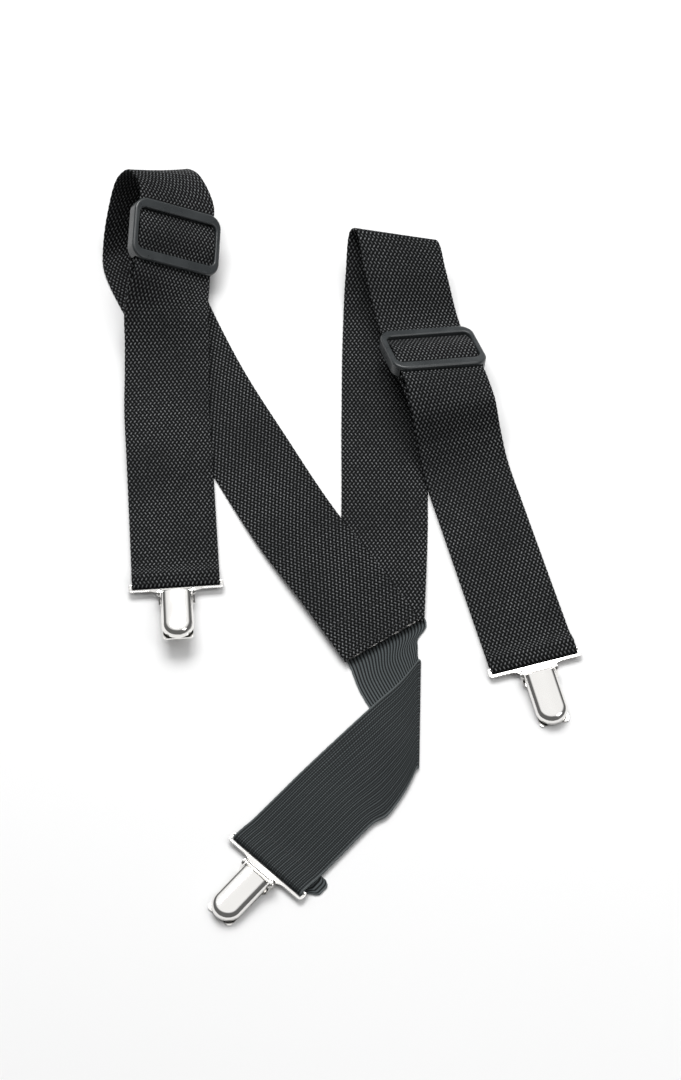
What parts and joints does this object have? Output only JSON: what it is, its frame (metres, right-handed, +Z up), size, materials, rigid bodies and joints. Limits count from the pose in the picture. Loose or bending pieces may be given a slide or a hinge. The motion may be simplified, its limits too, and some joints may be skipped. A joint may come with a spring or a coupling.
{
  "type": "suspenders",
  "caption": "Heavy Y-back suspenders laid down loosely: wide woven straps with tri-glide sliders, a ribbed elastic back and hinged metal clips.",
  "frame": {"origin": "middle of the footprint, on the surface that the suspenders lie on", "axes": "+Z up, +Y from the clips towards the shoulder loops, +X to the right seen from above"},
  "size_m": [0.2797, 0.4892, 0.0506],
  "materials": {
    "webbing": "coarse woven, matte",
    "elastic": "ribbed woven elastic, matte",
    "thread": "spun thread",
    "slider_plastic": "satin moulded",
    "clip_metal": "polished nickel plate",
    "clip_steel": "plated spring steel",
    "pad_plastic": "matte"
  },
  "bodies": {
    "straps": {"left_strap": "webbing", "right_strap": "webbing", "back_elastic": "elastic", "yoke_stitching": "thread", "back_hem_stitching": "thread"},
    "left_slider_body": {"left_slider": "slider_plastic", "left_strap_tab": "webbing", "left_tab_stitching": "thread"},
    "right_slider_body": {"right_slider": "slider_plastic", "right_strap_tab": "webbing", "right_tab_stitching": "thread"},
    "left_front_clip_base": {"left_front_clip_frame": "clip_metal", "left_front_clip_pin": "clip_metal"},
    "left_front_clip_cover": {"left_front_clip_lever": "clip_metal"},
    "left_front_clip_grip": {"left_front_clip_jaw": "clip_steel", "left_front_clip_jaw_pad": "pad_plastic"},
    "right_front_clip_base": {"right_front_clip_frame": "clip_metal", "right_front_clip_pin": "clip_metal"},
    "right_front_clip_cover": {"right_front_clip_lever": "clip_metal"},
    "right_front_clip_grip": {"right_front_clip_jaw": "clip_steel", "right_front_clip_jaw_pad": "pad_plastic"},
    "back_clip_base": {"back_clip_frame": "clip_metal", "back_clip_pin": "clip_metal"},
    "back_clip_cover": {"back_clip_lever": "clip_metal"},
    "back_clip_grip": {"back_clip_jaw": "clip_steel", "back_clip_jaw_pad": "pad_plastic"}
  },
  "joints": [
    {"name": "left_slider_slide", "type": "slide", "parent": "straps", "child": "left_slider_body", "axis": [-0.045, -0.9734, -0.2246], "range_m": [-0.005, 0.005]},
    {"name": "right_slider_slide", "type": "slide", "parent": "straps", "child": "right_slider_body", "axis": [0.2678, -0.9008, 0.3418], "range_m": [-0.005, 0.005]},
    {"name": "left_front_clip_swing", "type": "hinge", "parent": "straps", "child": "left_front_clip_base", "pos_m": [-0.08868, -0.03737, 0.003], "axis": [-0.9973, -0.0732, 0], "range_deg": [-85, 55]},
    {"name": "left_front_lever_hinge", "type": "hinge", "parent": "left_front_clip_base", "child": "left_front_clip_cover", "pos_m": [-0.08809, -0.04537, 0.00784], "axis": [-0.9973, -0.0732, 0], "range_deg": [0, 100]},
    {"name": "left_front_jaw_hinge", "type": "hinge", "parent": "left_front_clip_base", "child": "left_front_clip_grip", "pos_m": [-0.08809, -0.04537, 0.00784], "axis": [-0.9973, -0.0732, 0], "range_deg": [0, 10]},
    {"name": "right_front_clip_swing", "type": "hinge", "parent": "straps", "child": "right_front_clip_base", "pos_m": [0.11295, -0.08595, 0.003], "axis": [-0.9627, -0.2706, 0], "range_deg": [-70, 70]},
    {"name": "right_front_lever_hinge", "type": "hinge", "parent": "right_front_clip_base", "child": "right_front_clip_cover", "pos_m": [0.11539, -0.09462, 0.0056], "axis": [-0.9627, -0.2706, 0], "range_deg": [0, 100]},
    {"name": "right_front_jaw_hinge", "type": "hinge", "parent": "right_front_clip_base", "child": "right_front_clip_grip", "pos_m": [0.11539, -0.09462, 0.0056], "axis": [-0.9627, -0.2706, 0], "range_deg": [0, 10]},
    {"name": "back_clip_swing", "type": "hinge", "parent": "straps", "child": "back_clip_base", "pos_m": [-0.03333, -0.20984, 0.0028], "axis": [-0.7373, 0.6756, 0], "range_deg": [-70, 70]},
    {"name": "back_lever_hinge", "type": "hinge", "parent": "back_clip_base", "child": "back_clip_cover", "pos_m": [-0.03941, -0.21647, 0.0054], "axis": [-0.7373, 0.6756, 0], "range_deg": [0, 100]},
    {"name": "back_jaw_hinge", "type": "hinge", "parent": "back_clip_base", "child": "back_clip_grip", "pos_m": [-0.03941, -0.21647, 0.0054], "axis": [-0.7373, 0.6756, 0], "range_deg": [0, 10]}
  ],
  "couplings": [
    {"joint": "left_front_jaw_hinge", "follows": "left_front_lever_hinge", "ratio": 0.1},
    {"joint": "right_front_jaw_hinge", "follows": "right_front_lever_hinge", "ratio": 0.1},
    {"joint": "back_jaw_hinge", "follows": "back_lever_hinge", "ratio": 0.1}
  ]
}
